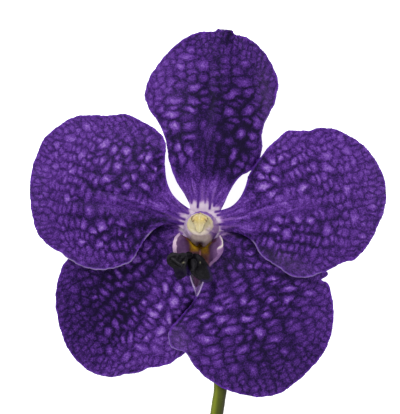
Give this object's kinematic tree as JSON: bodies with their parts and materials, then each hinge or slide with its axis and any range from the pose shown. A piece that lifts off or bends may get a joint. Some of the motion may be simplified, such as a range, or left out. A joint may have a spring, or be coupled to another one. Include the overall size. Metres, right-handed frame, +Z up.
{
  "type": "vanda orchid flower",
  "caption": "Cut flower of a broad-petalled purple orchid with a netted pattern, white column and dark lip, lying on its back with its stalk beneath.",
  "frame": {"origin": "centre of the lowest face of the flower's bounding box, on the surface that it lies on", "axes": "+Z up out of the face of the flower, +Y towards the dorsal sepal, +X to the right seen from above with the dorsal sepal at the top"},
  "size_m": [0.0968, 0.109, 0.0229],
  "materials": {
    "netted_purple": "velvety deep purple petal with a lighter violet netting between dark veins, white at the claw",
    "lip_tissue": "near-black velvety mid lobe, lavender side lobes with pale margins, yellow throat, pale lilac spur",
    "column_tissue": "waxy white flushed with lavender on the flanks",
    "anther_tissue": "glossy cream cap with a yellow shield and brown edges",
    "stalk_green": "smooth olive-green stalk, paler and lilac towards the ovary"
  },
  "bodies": {
    "root": {"dorsal_sepal": "netted_purple", "petal_left": "netted_purple", "petal_right": "netted_purple", "lateral_sepal_left": "netted_purple", "lateral_sepal_right": "netted_purple", "lip": "lip_tissue", "column": "column_tissue", "anther_cap": "anther_tissue", "pedicel": "stalk_green"}
  },
  "joints": []
}
